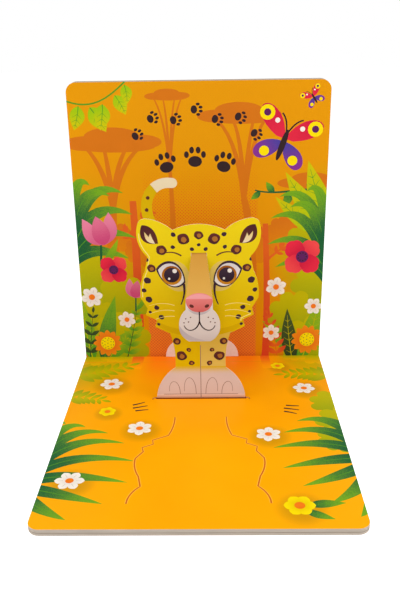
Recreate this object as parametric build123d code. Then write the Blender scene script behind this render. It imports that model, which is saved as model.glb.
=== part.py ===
from build123d import *

import os

# A pop-up book, standing open at a right angle at its first spread. The front cover and the page
# pasted to it lie on the table. The other leaves and the back cover stand up behind them, and a
# folded card figure stands in a slit of the lying page.
#
# Millimetres. X runs to the right, Y away from the reader and Z up. The origin is on the table,
# under the middle of the front cover. The two open pages meet at the fold, along X.

# Pages and covers
page_width = 184.0
page_depth = 210.0  # from the fold to the fore-edge
page_corner = 7.0  # corner radius at the fore-edge
cover_thickness = 1.8
leaf_thickness = 2.0
leaf_count = 4  # leaves that stand up with the back cover
leaf_seam = 0.2  # gap between two leaves at their edges
leaf_seam_depth = 0.7
lower_page_thickness = 2.2
cover_edge = 0.35  # rounding of the covers' outer edges
score_depth = 0.15  # crease pressed across the page where its board ends

# Hinge between the two halves
hinge_width = 10.0  # flexible stretch from the lying boards' end to the fold
hinge_thickness = 0.5
sheet_thickness = 0.4  # printed sheet that bridges the fold
closed_gap = 3.0  # room for the folded card when the book is shut

# Pop-up card
card = 0.45
card_gap = 0.05  # fitting gap between two cards
tab_room = 0.5  # beside a tab in its slit or pocket
slit_distance = 67.0  # from the fold to the slit
slit_length = 63.5
slit_front = 1.55  # open in front of the card's middle
slit_back = 0.55
slit_hook = 2.2  # radius of the curved cut that ends the slit
slit_hook_width = 0.4
tab_length = 12.0

# Figure: half widths, heights above the lying page, and how far its arcs bulge from their chords
paw_half_width = 31.2
paw_height = 24.0
paw_bulge = 3.3
leg_half_width = 17.5
leg_hollow = 1.3
neck_half_width = 20.5
neck_height = 50.0
lower_tuft_half_width = 30.5
lower_tuft_height = 55.0
upper_tuft_half_width = 36.5
upper_tuft_height = 63.5
tuft_notch = 1.4  # how far a tuft steps in above its tip
tuft_rise = 5.0  # from a tuft's tip to its notch
tuft_round = 0.7
cheek_half_width = 39.5
cheek_height = 76.0
cheek_bulge = 1.3
temple_half_width = 36.0
temple_height = 95.0
ear_base_half_width = 34.0
ear_base_height = 105.0
ear_bulge = 4.3
ear_tip_half_width = 38.0
ear_tip_height = 131.0
ear_crest = 2.2
ear_round = 5.0
crown_half_width = 17.0
crown_edge_height = 123.0
crown_height = 127.0
crown_bulge = 1.0
base_crease_height = 3.3
base_lean = 0.5  # how far the crease stands forward of the slit

# Snout: a second folded card, held in two slits of the figure
bridge_half_width = 5.0
bridge_height = 106.0
nose_half_width = 8.8
nose_height = 80.5
nose_drop = 7.0
nose_reach = 15.0
muzzle_half_width = 13.5
muzzle_height = 62.0
muzzle_bulge = 1.3
muzzle_reach = 13.0
chin_half_width = 6.5
chin_height = 50.0
chin_bulge = 2.2
chin_tab_height = 60.0
snout_tab_length = 8.0
snout_slit_height = 3.0
snout_slit_room = 0.2  # beside the snout in its two slits

# Strap from the figure's back to the standing page
strap_half_width = 30.0
strap_height = 86.0  # above the lying page
strap_tab = 12.0

# Hind paws, glued over the strap's foot on the standing page
hind_paw_outer = 28.5
hind_paw_inner = 11.0
hind_paw_height = 14.0
hind_paw_bulge = 2.4
hind_paw_clearance = 0.3  # above the lying page

# Derived places
board_depth = page_depth - hinge_width
board_end = board_depth / 2
fold = board_end + hinge_width
page_top = cover_thickness + lower_page_thickness
upright_top = page_top + page_depth
block_back = fold + leaf_count * leaf_thickness
book_back = block_back + cover_thickness
axis_y = fold - closed_gap / 2
slit = fold - slit_distance
face = slit - card / 2  # front of the figure's card


def standing(y):
    """Plane facing the reader at a given Y: its x runs along X and its y along Z."""
    return Plane(origin=(0, y, 0), x_dir=(1, 0, 0), z_dir=(0, -1, 0))


def box(x, y, z):
    """Box between two limits along each axis."""
    size = (x[1] - x[0], y[1] - y[0], z[1] - z[0])
    return Pos(x[0], y[0], z[0]) * Box(*size, align=(Align.MIN, Align.MIN, Align.MIN))


def lying_board(z_low, thickness):
    """Board of the lower half, with its two front corners rounded."""
    outline = Rectangle(page_width, board_depth)
    outline = fillet(outline.vertices().sort_by(Axis.Y)[:2], page_corner)
    return Pos(0, 0, z_low) * extrude(outline, thickness)


def standing_board(y_front, thickness, inset=0.0):
    """Board of the upright half, with its two top corners rounded."""
    height = upright_top - inset - hinge_thickness
    outline = Pos(0, hinge_thickness + height / 2) * Rectangle(page_width - 2 * inset, height)
    outline = fillet(outline.vertices().sort_by(Axis.Y)[-2:], page_corner - inset)
    return extrude(standing(y_front) * outline, -thickness)


def bulging(start, end, bulge):
    """Arc that stands out to the right of the way from start to end, or to its left below 0."""
    return SagittaArc(start, end, -bulge)


def symmetric_face(*right_side):
    """Face whose right half is drawn by edges from the bottom to the top, on the centre line."""
    left_side = [edge.mirror(Plane.YZ) for edge in right_side]
    return make_face(Wire([*right_side, *left_side]).edges())


def front_outline(outline, z_base, reach):
    """Block that trims a folded card to its front view: an outline, swept through all depths."""
    place = standing(slit + reach) * Pos(0, z_base)
    return extrude(place * outline, 2 * reach)


def folded_card(points, radii, half_width):
    """Card folded along a side-view path of (y, z) points, which its ends pass by half a card."""
    path = FilletPolyline(*points, radius=radii).wire()
    section = make_face(path.offset_2d(card / 2, kind=Kind.INTERSECTION, side=Side.BOTH).edges())
    return extrude(Plane.YZ * section, half_width, both=True)


def front_cover():
    board = lying_board(0, cover_thickness)
    outer = board.faces().sort_by(Axis.Z)[0].edges()
    rim = outer.filter_by(lambda edge: edge.center().Y < board_end - cover_edge)
    return fillet(rim, cover_edge)


def lower_page():
    """Lying page: the slit for the figure, its two hooked ends and the pocket for its tab."""
    page = lying_board(cover_thickness, lower_page_thickness)
    page = chamfer(page.edges().filter_by(Axis.X).group_by(Axis.Z)[-1].sort_by(Axis.Y)[-1:], score_depth)
    half = slit_length / 2
    page -= box((-half, half), (slit - slit_front, slit + slit_back), (cover_thickness, page_top))
    pocket_half = paw_half_width + tab_room
    pocket_back = slit + tab_length + tab_room
    pocket_top = cover_thickness + card + 2 * card_gap
    page -= box((-pocket_half, pocket_half), (slit - slit_front, pocket_back), (cover_thickness, pocket_top))
    for side in (-1, 1):
        ring = Circle(slit_hook + slit_hook_width / 2) - Circle(slit_hook - slit_hook_width / 2)
        quarter = Pos(side * slit_hook / 2, slit_hook / 2) * Rectangle(1.1 * slit_hook, 1.1 * slit_hook)
        hook = Pos(side * half, slit - slit_hook, page_top - sheet_thickness) * (ring & quarter)
        page -= extrude(hook, sheet_thickness)
    return page


def gutter_sheet():
    """Printed sheet across the fold, with half of the pressed crease."""
    strip = box((-page_width / 2, page_width / 2), (board_end, fold), (page_top - sheet_thickness, page_top))
    return chamfer(strip.edges().filter_by(Axis.X).group_by(Axis.Z)[-1].sort_by(Axis.Y)[:1], score_depth)


def hinge_strip():
    return box((-page_width / 2, page_width / 2), (board_end, axis_y), (0, hinge_thickness))


def spine_strip():
    """Strip glued under the upright leaves and the back cover."""
    strip = box((-page_width / 2, page_width / 2), (axis_y, book_back), (0, hinge_thickness))
    heel = strip.edges().filter_by(Axis.X).sort_by(Axis.Y)[-2:].sort_by(Axis.Z)[:1]
    return fillet(heel, cover_edge)


def page_block():
    """The upright leaves as one solid, parted at their three open edges."""
    core = leaf_count * leaf_thickness
    block = standing_board(fold, core, leaf_seam_depth)
    leaf = (core - (leaf_count - 1) * leaf_seam) / leaf_count
    for index in range(leaf_count):
        block += standing_board(fold + index * (leaf + leaf_seam), leaf)
    return block


def back_cover():
    board = standing_board(block_back, cover_thickness)
    outer = board.faces().sort_by(Axis.Y)[-1].edges()
    rim = outer.filter_by(lambda edge: edge.center().Z > hinge_thickness + cover_edge)
    return fillet(rim, cover_edge)


def cheek_edges(start, end):
    """Two pointed tufts of fur down one side of the face."""
    points = [start]
    for half_width, height in (
        (lower_tuft_half_width, lower_tuft_height),
        (upper_tuft_half_width, upper_tuft_height),
    ):
        points += [(half_width, height), (half_width - tuft_notch, height + tuft_rise)]
    points.append(end)
    return [Line(a, b) for a, b in zip(points, points[1:])]


def figure_outline():
    """Front view of the cat, with heights counted from the lying page."""
    foot = (paw_half_width, 0)
    ankle = (leg_half_width, paw_height)
    neck = (neck_half_width, neck_height)
    cheek = (cheek_half_width, cheek_height)
    temple = (temple_half_width, temple_height)
    ear_base = (ear_base_half_width, ear_base_height)
    ear_tip = (ear_tip_half_width, ear_tip_height)
    crown = (crown_half_width, crown_edge_height)
    right_side = [
        Line((0, 0), foot),
        bulging(foot, ankle, paw_bulge),
        bulging(ankle, neck, -leg_hollow),
        *cheek_edges(neck, cheek),
        bulging(cheek, temple, cheek_bulge),
        Line(temple, ear_base),
        bulging(ear_base, ear_tip, ear_bulge),
        bulging(ear_tip, crown, ear_crest),
        bulging(crown, (0, crown_height), crown_bulge),
    ]
    outline = symmetric_face(*right_side)
    points = outline.vertices()
    ears = points.filter_by(lambda point: abs(point.Y - ear_tip_height) < 0.01)
    outline = fillet(ears, ear_round)
    tufts = outline.vertices().filter_by(lambda point: neck_height < point.Y < cheek_height + 1)
    return fillet(tufts, tuft_round)


def figure():
    """Die-cut card: a glued tab in the page, a crease over the slit and the standing cat."""
    tab_z = cover_thickness + card_gap + card / 2
    path = [
        (slit + tab_length, tab_z),
        (slit, tab_z),
        (slit - base_lean, page_top + base_crease_height),
        (slit, page_top + neck_height),
        (slit, upright_top),
    ]
    strip = folded_card(path, [card, 0, 0], page_width / 2)
    tab = Pos(0, -page_top / 2) * Rectangle(2 * paw_half_width, page_top)
    outline = figure_outline() + tab
    cat = strip & front_outline(outline, page_top, 2 * tab_length)
    for height, half in ((bridge_height, bridge_half_width), (chin_tab_height, chin_half_width)):
        middle = page_top + height
        cat -= box(
            (-half - snout_slit_room, half + snout_slit_room),
            (slit - 2 * card, slit + 2 * card),
            (middle - snout_slit_height / 2, middle + snout_slit_height / 2),
        )
    return cat


def snout_outline():
    """Front view of the bridge, nose and muzzle, with heights counted from the lying page."""
    chin_low = chin_height - card
    chin = (chin_half_width, chin_low)
    muzzle = (muzzle_half_width, muzzle_height)
    nostril = (nose_half_width, nose_height - nose_drop)
    nose = (nose_half_width, nose_height)
    bridge = (bridge_half_width, bridge_height)
    top = bridge_height + snout_tab_length + card
    right_side = [
        Line((0, chin_low), chin),
        bulging(chin, muzzle, chin_bulge),
        bulging(muzzle, nostril, muzzle_bulge),
        Line(nostril, nose),
        Line(nose, bridge),
        Line(bridge, (bridge_half_width, top)),
        Line((bridge_half_width, top), (0, top)),
    ]
    return symmetric_face(*right_side)


def snout():
    """Folded card: a tab behind the figure, the bridge, the nose, the muzzle and a chin tab."""
    behind = slit + card + card_gap
    tab_top = page_top + bridge_height + snout_tab_length
    front_path = [
        (behind, tab_top),
        (behind, page_top + bridge_height + card),
        (face - nose_reach, page_top + nose_height),
        (face - nose_reach - card, page_top + nose_height - nose_drop),
        (face - muzzle_reach, page_top + chin_height),
    ]
    front = folded_card(front_path, [0, card, card], page_width / 2)
    front &= front_outline(snout_outline(), page_top, 2 * nose_reach)
    chin_path = [
        (face - muzzle_reach, page_top + chin_height),
        (behind, page_top + chin_tab_height - card),
        (behind, page_top + chin_tab_height + snout_tab_length),
    ]
    chin = folded_card(chin_path, [0], chin_half_width)
    return front + chin


def back_strap():
    """Card strap: a tab glued to the figure's back and a level run to the standing page."""
    level = page_top + strap_height
    behind = slit + card + card_gap
    path = [
        (behind, level - strap_tab),
        (behind, level),
        (fold - card - card_gap - card / 2, level),
    ]
    return folded_card(path, [card], strap_half_width)


def strap_flap():
    """The strap's other end, glued flat to the standing page down to the fold."""
    top = page_top + strap_height + card / 2
    sides = (-strap_half_width, strap_half_width)
    return box(sides, (fold - card, fold), (page_top + hind_paw_clearance, top))


def hind_paw(side):
    """Rounded paw card, its foot just over the fold."""
    low = page_top + hind_paw_clearance
    inner = (hind_paw_inner, 0)
    outer = (hind_paw_outer, 0)
    crest = ((hind_paw_inner + hind_paw_outer) / 2, hind_paw_height)
    arcs = [bulging(outer, crest, hind_paw_bulge), bulging(crest, inner, hind_paw_bulge)]
    outline = make_face([Line(inner, outer), *arcs])
    if side < 0:
        outline = mirror(outline, about=Plane.YZ)
    return extrude(standing(fold - card) * Pos(0, low) * outline, card)


pieces = {
    "front_cover": front_cover(),
    "lower_page": lower_page(),
    "gutter_sheet": gutter_sheet(),
    "hinge_strip": hinge_strip(),
    "spine_strip": spine_strip(),
    "page_block": page_block(),
    "back_cover": back_cover(),
    "figure": figure(),
    "snout": snout(),
    "back_strap": back_strap(),
    "strap_flap": strap_flap(),
    "hind_paw_left": hind_paw(-1),
    "hind_paw_right": hind_paw(1),
}

os.makedirs("parts", exist_ok=True)
for name, piece in pieces.items():
    export_step(piece, f"parts/{name}.step")
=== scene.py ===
"""A pop-up book that stands open at a right angle, printed in orange, with a spotted card cat."""
import math
import random
from functools import cache

import bmesh
import bpy
import numpy as np
from mathutils import Euler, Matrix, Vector
from mathutils.geometry import delaunay_2d_cdt


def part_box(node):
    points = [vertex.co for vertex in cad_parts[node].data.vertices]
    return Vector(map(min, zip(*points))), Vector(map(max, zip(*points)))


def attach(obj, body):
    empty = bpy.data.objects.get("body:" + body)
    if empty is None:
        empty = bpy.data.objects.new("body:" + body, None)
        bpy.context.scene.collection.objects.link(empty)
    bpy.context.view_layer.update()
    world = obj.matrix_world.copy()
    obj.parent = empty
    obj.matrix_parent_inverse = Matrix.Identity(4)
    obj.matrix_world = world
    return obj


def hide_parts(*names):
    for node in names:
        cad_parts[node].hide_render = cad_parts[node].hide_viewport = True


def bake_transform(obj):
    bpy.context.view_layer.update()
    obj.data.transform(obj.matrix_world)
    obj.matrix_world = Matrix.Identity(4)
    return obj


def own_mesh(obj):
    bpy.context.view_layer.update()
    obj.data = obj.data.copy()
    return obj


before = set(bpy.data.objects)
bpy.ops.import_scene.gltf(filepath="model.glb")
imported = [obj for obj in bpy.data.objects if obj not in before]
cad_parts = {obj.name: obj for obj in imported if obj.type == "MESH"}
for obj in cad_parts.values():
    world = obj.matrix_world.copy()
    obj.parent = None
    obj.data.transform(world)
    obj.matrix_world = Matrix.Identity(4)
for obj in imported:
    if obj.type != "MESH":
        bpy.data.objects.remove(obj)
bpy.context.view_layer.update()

MM = 0.001


def span(node):
    """Lowest and highest corner of a node, in millimetres."""
    low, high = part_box(node)
    return Vector(low) / MM, Vector(high) / MM


def front_at_top(node, reach=0.5):
    """Depth of a node's front within reach of its highest point, in millimetres."""
    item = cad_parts[node]
    spots = [item.matrix_world @ vertex.co / MM for vertex in item.data.vertices]
    top = max(spot.z for spot in spots)
    return min(spot.y for spot in spots if spot.z > top - reach)


# Places that every piece shares, in millimetres, read from the frame
PAGE_TOP = span("lower_page")[1].z
FOLD = span("page_block")[0].y
BOARD_END = span("lower_page")[1].y
HALF_WIDTH = span("lower_page")[1].x
CARD = span("strap_flap")[1].y - span("strap_flap")[0].y
SLIT = front_at_top("figure") + CARD / 2

# Sizes in millimetres that the frame doesn't hold
SHEET = 0.12  # printed sheet pasted on a board
BEND = 2.5  # stretch of the outer strip that turns as the book shuts
BEND_STEPS = 12  # parts of a piece that bends at the hinge
STRAP_CORNER = 0.6  # round at the fold of the strap
CREASES = (3.3, 50.0)  # folds of the standing card, above the page
FIELD = (-41.0, 42.0)  # dotted field behind the figure, across the standing page
DOT_PITCH = 2.4  # between the rows of the dotted field
SEAM_SHADE = 0.28  # half of the painted shade line in the gap between two boards
PRESSED = (26.0, 122.0)  # reach of the pressed lines in front of the slit
PRESSED_MIDDLE = 12.0  # half of the middle, which has no pressed line
LINE_BREAK = 12.0  # gap in the figure's outline at which a pressed line ends
FLOOR_REACH = 3000.0
FLOOR_DROP = 0.2  # how far the floor lies under the book

# Camera, found from the corners of the two pages in the photograph
IMAGE_HEIGHT = 600
FOCAL_PIXELS = 745.1
SENSOR = 36.0
CAMERA_FROM_FOLD = Vector((9.2, -532.3, 257.3))
CAMERA_TURN = (68.52, 0.84, 0.77)

# Studio: soft light from all round, and lamps as place, target, size in metres and watts
DAYLIGHT = 0.40
FLOOR_GLOW = 0.72
FLOOR_TONE = (0.8, 0.8, 0.8, 1.0)
WHITE = (1.0, 1.0, 1.0, 1.0)
LAMPS = {
    "key": ((-0.35, -0.50, 1.05), (0.0, 0.0, 0.06), (0.9, 0.7), 4.0),
    "fill": ((0.75, -0.50, 0.70), (0.0, 0.05, 0.08), (0.8, 0.8), 2.0),
    "front": ((0.0, -0.95, 0.30), (0.0, 0.10, 0.03), (0.5, 0.4), 1.2),
    "left": ((-0.50, -0.02, 0.32), (0.0, 0.09, 0.01), (0.4, 0.4), 1.4),
    "right": ((0.50, -0.02, 0.32), (0.0, 0.09, 0.01), (0.4, 0.4), 1.4),
}

# Finish of paper and board
SHEEN = 0.06  # how strongly coated paper mirrors its surroundings
RELIEF = 0.0001  # height of fibres, in metres
SPECKLE = 2600.0  # fineness of the grain in ink
FIBRES = (900.0, 260.0)  # fineness of the fibres under print, small and large
LAYERS = (60.0, 1800.0, 1800.0)  # fineness of a board's layers, along and across
INK_GLOSS = 0.42  # roughness of printed paper
COVER = (226, 140, 22)
CUT_SHADE = (130, 54, 24)  # painted shade in the depth of a cut through the page
EDGE_BOARD = (204, 191, 175)
LEAF_BOARD = (206, 192, 176)

# Unprinted card and cloth: the colour and the depth of the fibres
PLAIN = {
    "card_back": ((214, 208, 200), 0.12),
    "cut_edge": ((236, 228, 216), 0.20),
    "paw_card": ((238, 222, 214), 0.12),
    "spine_cloth": (COVER, 0.12),
}

# Printing inks: how grainy their change is, and the colours in which a shape starts and ends
INKS = {
    "far_tree": (0.12, (206, 112, 20), (212, 126, 12)),
    "trunk": (0.12, (214, 96, 30), (208, 70, 34)),
    "trunk_foot": (0.10, (232, 100, 26), (250, 160, 8)),
    "lime": (0.16, (186, 176, 2), (150, 160, 12)),
    "light_lime": (0.14, (150, 190, 14), (198, 188, 6)),
    "lime_foot": (0.10, (176, 168, 4), (222, 170, 6)),
    "mid_green": (0.18, (84, 148, 34), (146, 176, 20)),
    "dark_green": (0.30, (30, 92, 52), (116, 166, 30)),
    "deep_green": (0.10, (52, 68, 36), (66, 84, 38)),
    "pink": (0.12, (224, 128, 156), (204, 92, 132)),
    "dark_pink": (0.12, (196, 70, 118), (214, 110, 140)),
    "red": (0.12, (222, 42, 66), (196, 26, 60)),
    "light_red": (0.12, (232, 74, 74), (214, 40, 66)),
    "purple": (0.10, (92, 34, 92), (70, 30, 84)),
    "blue": (0.14, (70, 62, 150), (132, 50, 140)),
    "white": (0.06, (238, 232, 222), (224, 214, 202)),
    "petal_line": (0.05, (196, 186, 178)),
    "orange": (0.10, (236, 120, 24), (220, 96, 20)),
    "orange_petal": (0.12, (232, 134, 20), (224, 96, 26)),
    "yellow": (0.08, (244, 218, 4), (226, 190, 2)),
    "dark_print": (0.05, (52, 36, 38), (62, 44, 50)),
    # painted shade in the score
    "score_shade": (0.05, (226, 138, 12)),
    # painted shade inside the slit
    "slit_shadow": (0.05, CUT_SHADE),
    # painted shade along the slit's edges
    "slit_edge_shade": (0.05, (162, 66, 22)),
    # painted shade in a pressed groove, and the painted highlight beside it
    "pressed_groove_shade": (0.05, (202, 104, 34)),
    "pressed_highlight": (0.05, (255, 190, 60)),
    "fur": (0.10, (216, 182, 2), (206, 166, 4)),
    "light_fur": (0.12, (232, 206, 20), (216, 182, 2)),
    "cream_fur": (0.12, (218, 188, 92), (210, 176, 60)),
    "fur_shade": (0.08, (204, 168, 0)),
    "cream": (0.12, (232, 214, 178), (220, 190, 110)),
    "rim": (0.05, (240, 222, 130), (238, 214, 110)),
    "spot": (0.12, (94, 46, 40), (74, 36, 40)),
    "dark_spot": (0.12, (62, 40, 52), (48, 32, 44)),
    "tan_spot": (0.16, (168, 108, 44), (196, 146, 30)),
    "paw": (0.08, (214, 194, 190), (212, 190, 184)),
    "paw_to_fur": (0.10, (214, 194, 190), (214, 178, 40)),
    # painted light below the figure's crease, turning to painted shade at the page
    "paw_band_light_and_shade": (0.05, (230, 208, 200), (228, 164, 122)),
    # printed toe lines, and painted shade in the figure's crease
    "toe_print_and_crease_shade": (0.05, (150, 118, 106), (160, 128, 114)),
    "eye": (0.06, (232, 226, 220), (206, 198, 198)),
    "iris": (0.10, (196, 128, 24), (150, 84, 22)),
    "pupil": (0.06, (58, 42, 56), (44, 30, 42)),
    "bridge": (0.08, (208, 158, 72), (200, 144, 58)),
    "nose": (0.08, (219, 124, 121), (204, 98, 96)),
    "nose_gleam": (0.08, (222, 146, 146), (214, 126, 128)),
    "muzzle": (0.06, (214, 206, 204), (192, 184, 186)),
    "muzzle_shade": (0.06, (184, 176, 182), (200, 192, 194)),
    "mouth_line": (0.02, (40, 20, 24)),
}

# Flowers of the lying page: across, depth, size and turn
LYING_WHITES = ((-66, 64, 17, 10), (-40, 2, 17, 30), (-76, -56, 18, 0), (44, -6, 17, 24), (74, 56, 16, 50))
LYING_YELLOWS = ((-64, 24, 12, 20), (56, -80, 18, 0), (58, 92, 11, 45))

# Limits of the outline and sheet maths
SAME_SPOT = 1e-3  # points nearer than this become one
SLIVER = 1e-7  # twice the area of a triangle that is left out
FACING = 0.7  # how far a face's normal has to look along an axis
NO_FADE = ((0, 0), (0, 0))


def linear(colour):
    """Scene-linear colour, from one written as 0 to 255."""
    parts = [value / 255 for value in colour]
    return tuple(c / 12.92 if c <= 0.04045 else ((c + 0.055) / 1.055) ** 2.4 for c in parts) + (1.0,)


def darker(colour, share):
    return [value * share for value in colour]


class Signal:
    """A shader value: a socket, whose arithmetic adds Math nodes to its material."""

    def __init__(self, tree, socket=None):
        self.tree = tree
        self.socket = socket

    def node(self, kind, inputs=None, output=0, **settings):
        """Any other node of the material: its settings are made first, then its sockets are filled."""
        made = self.tree.nodes.new(kind)
        for name, value in settings.items():
            setattr(made, name, value)
        for key, value in (inputs or {}).items():
            if isinstance(value, Signal):
                self.tree.links.new(value.socket, made.inputs[key])
            else:
                made.inputs[key].default_value = value
        return Signal(self.tree, made.outputs[output] if made.outputs else None)

    def maths(self, operation, *values):
        return self.node("ShaderNodeMath", dict(enumerate(values)), operation=operation)

    def __add__(self, other):
        return self.maths("ADD", self, other)

    def __sub__(self, other):
        return self.maths("SUBTRACT", self, other)

    def __rsub__(self, other):
        return self.maths("SUBTRACT", other, self)

    def __mul__(self, other):
        return self.maths("MULTIPLY", self, other)

    def __truediv__(self, other):
        return self.maths("DIVIDE", self, other)

    def __rtruediv__(self, other):
        return self.maths("DIVIDE", other, self)

    __radd__ = __add__
    __rmul__ = __mul__

    def alone(self, operation):
        return self.maths(operation, self)

    def clamped(self):
        return self.maths("MAXIMUM", self.maths("MINIMUM", self, 1.0), 0.0)

    def ramp(self, low, high):
        """0 below low, 1 above high and a smooth rise between them."""
        inputs = {0: self, 1: low, 2: high}
        return self.node("ShaderNodeMapRange", inputs, interpolation_type="SMOOTHSTEP")

    def mixed(self, first, second):
        """Colour that goes from first to second as this value goes from 0 to 1."""
        first, second = (c if isinstance(c, Signal) else linear(c) for c in (first, second))
        return self.node("ShaderNodeMix", {0: self, 6: first, 7: second}, 2, data_type="RGBA")

    def noise(self, place, scale, detail=2.0):
        return self.node("ShaderNodeTexNoise", {"Vector": place, "Scale": scale, "Detail": detail})


def shader_start(owner):
    """Empties the nodes of a material or of the surroundings, and starts its shader maths."""
    owner.use_nodes = True
    owner.node_tree.nodes.clear()
    return Signal(owner.node_tree)


def new_material(name):
    """A material and the start of its shader maths."""
    material = bpy.data.materials.new(name)
    return material, shader_start(material)


def finish_material(start, colour, roughness, height, bump):
    """Joins a colour, a roughness and a relief to the surface, and that to the output."""
    relief = start.node("ShaderNodeBump", {"Height": height, "Strength": bump, "Distance": RELIEF})
    inputs = {"Base Color": colour, "Roughness": roughness, "Specular IOR Level": SHEEN, "Normal": relief}
    surface = start.node("ShaderNodeBsdfPrincipled", inputs)
    start.node("ShaderNodeOutputMaterial", {"Surface": surface})


def finish_print(start, place, colour, depth, roughness=INK_GLOSS):
    """Ink of uneven depth on coated paper, with soft fibres under it."""
    inked = start.node("ShaderNodeVectorMath", {0: colour, "Scale": depth}, operation="SCALE")
    small, large = FIBRES
    fibres = start.noise(place, small, 3.0) * 0.6 + start.noise(place, large) * 0.4
    finish_material(start, inked, roughness, fibres, 0.08)


def places(start):
    """The surface's place in metres, and its three parts in millimetres."""
    place = start.node("ShaderNodeTexCoord", output="Object")
    parts = [start.node("ShaderNodeSeparateXYZ", {0: place}, axis) / MM for axis in range(3)]
    return place, parts


@cache
def ink(name):
    """Printing ink that goes from one colour to another along each shape, with a speckled change."""
    grain, *colours = INKS[name]
    material, start = new_material(name)
    place, _ = places(start)
    fade = start.node("ShaderNodeAttribute", output="Fac", attribute_name="fade")
    speckle = start.noise(place, SPECKLE) - 0.5
    cloud = start.noise(place, 60.0) - 0.5
    change = (fade + speckle * (grain * 4.0) + cloud * (grain * 0.8)).ramp(0.0, 1.0)
    depth = cloud * 0.10 + speckle * 0.06 + 1.0
    finish_print(start, place, change.mixed(colours[0], colours[-1]), depth)
    return material


def halftone(across, up, size):
    """Round dots of ink on a diagonal grid, 1 on a dot. The size is the square of a dot's radius."""
    first = ((across + up) / DOT_PITCH).alone("FRACT") - 0.5
    second = ((across - up) / DOT_PITCH).alone("FRACT") - 0.5
    reach = first * first + second * second
    return 1.0 - reach.ramp(size * 0.6, size * 1.4)


def blob(across, up, centre, half_size):
    """Soft round patch: 1 in its middle, 0 outside."""
    x = (across - centre[0]) / half_size[0]
    y = (up - centre[1]) / half_size[1]
    return 1.0 - (x * x + y * y).ramp(0.0, 1.0)


def window(value, low, high, soft):
    """1 between low and high, with soft ends."""
    return value.ramp(low - soft, low + soft) * (1.0 - value.ramp(high - soft, high + soft))


def layered(tone, *layers):
    """A colour with others laid over it, each where its mask is 1."""
    for mask, colour in layers:
        tone = mask.mixed(tone, colour)
    return tone


@cache
def standing_ground():
    """Orange ground of the standing page, with its halftone field behind the figure."""
    material, start = new_material("standing_ground")
    place, (x, _, z) = places(start)
    cloud = start.noise(place, 18.0, 3.0)
    tone = (z * 0.004 + cloud * 0.35).ramp(0.1, 0.9).mixed((215, 138, 2), (222, 147, 2))
    sides = blob(x, z, (-HALF_WIDTH, 74.0), (56.0, 84.0)) + blob(x, z, (HALF_WIDTH, 92.0), (46.0, 70.0))
    field = window(x, *FIELD, 1.0)
    near = 1.0 - z.ramp(20.0, 120.0)
    size = (1.0 - z.ramp(70.0, 160.0)) * 0.20 + 0.004
    high = z.ramp(40.0, 90.0)
    tone = layered(
        tone,
        (sides.clamped() * 0.75, (176, 166, 4)),
        (field * near * 0.85, (230, 124, 40)),
        (halftone(x, z, size) * field * high * 0.95, (218, 82, 26)),
        (halftone(x, z, 0.13) * field * (1.0 - high) * 0.6, (184, 76, 40)),
        # painted shade at the foot of the standing page, in the corner of the fold
        ((1.0 - z.ramp(4.0, 9.0)) * 0.25, (150, 60, 20)),
    )
    finish_print(start, place, tone, start.noise(place, SPECKLE) * 0.06 + 0.97)
    return material


@cache
def lying_ground():
    """Yellow-orange ground of the lying page, redder behind the figure and greener at its far corners."""
    material, start = new_material("lying_ground")
    place, (x, y, _) = places(start)
    cloud = start.noise(place, 14.0, 3.0)
    tone = (cloud * 0.8 - y * 0.002).ramp(0.1, 0.8).mixed((243, 156, 2), (250, 171, 3))
    behind = window(x, -44.0, 44.0, 8.0) * y.ramp(SLIT + 10.0, FOLD)
    corners = blob(x, y, (-88.0, FOLD), (44.0, 70.0)) + blob(x, y, (86.0, FOLD), (34.0, 40.0))
    shade = 0.0
    for flower_x, flower_y, size, _ in LYING_WHITES + LYING_YELLOWS:
        shade = blob(x, y, (flower_x + 1, flower_y - 3), (size * 0.95, size * 0.95)) + shade
    tone = layered(
        tone,
        (behind * 0.75, (246, 112, 18)),
        (corners.clamped() * 0.75, (176, 168, 8)),
        (shade.clamped() * 0.5, (150, 120, 14)),
    )
    finish_print(start, place, tone, start.noise(place, SPECKLE) * 0.06 + 0.97, 0.40)
    return material


def board_material(name, face_colour, face_axis, seam=None):
    """Grey board with a printed outer face: the cut edges show fibres in layers.

    face_axis is the axis that the printed face looks along, and seam the height of the gap between two
    boards, where a line of shade is painted; with a seam, shade is also painted on the walls about the
    slit.
    """
    material, start = new_material(name)
    place, (x, y, z) = places(start)
    normal = start.node("ShaderNodeTexCoord", output="Normal")
    facing = start.node("ShaderNodeSeparateXYZ", {0: normal}, face_axis).alone("ABSOLUTE")
    layers = start.node("ShaderNodeVectorMath", {0: place, 1: LAYERS}, operation="MULTIPLY")
    fibres = start.noise(layers, 1.0, 3.0)
    edge = fibres.ramp(0.25, 0.75).mixed(darker(EDGE_BOARD, 0.90), EDGE_BOARD)
    if seam is not None:
        # painted shade in the gap between the boards
        line = 1.0 - ((z - seam) / SEAM_SHADE).alone("ABSOLUTE").ramp(0.3, 1.0)
        # painted shade on the board's walls about the slit
        slit = window(x, -45.0, 45.0, 1.0) * window(y, SLIT - 4.0, SLIT + 3.0, 0.5)
        edge = layered(edge, (line * 0.7, (120, 92, 78)), (slit, (160, 56, 18)))
    cloud = start.noise(place, 22.0, 3.0)
    face = cloud.ramp(0.2, 0.8).mixed(darker(face_colour, 0.95), face_colour)
    finish_material(start, facing.ramp(0.55, 0.75).mixed(edge, face), 0.5, fibres, 0.12)
    return material


@cache
def plain_card(name):
    """Unprinted card or cloth with fine fibres."""
    colour, bump = PLAIN[name]
    material, start = new_material(name)
    place, _ = places(start)
    fibres = start.noise(place, 700.0, 4.0)
    tone = fibres.ramp(0.2, 0.8).mixed(darker(colour, 0.955), colour)
    finish_material(start, tone, 0.62, fibres, bump)
    return material


# Flat shapes of print, as lists of (across, up) points in millimetres


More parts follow.
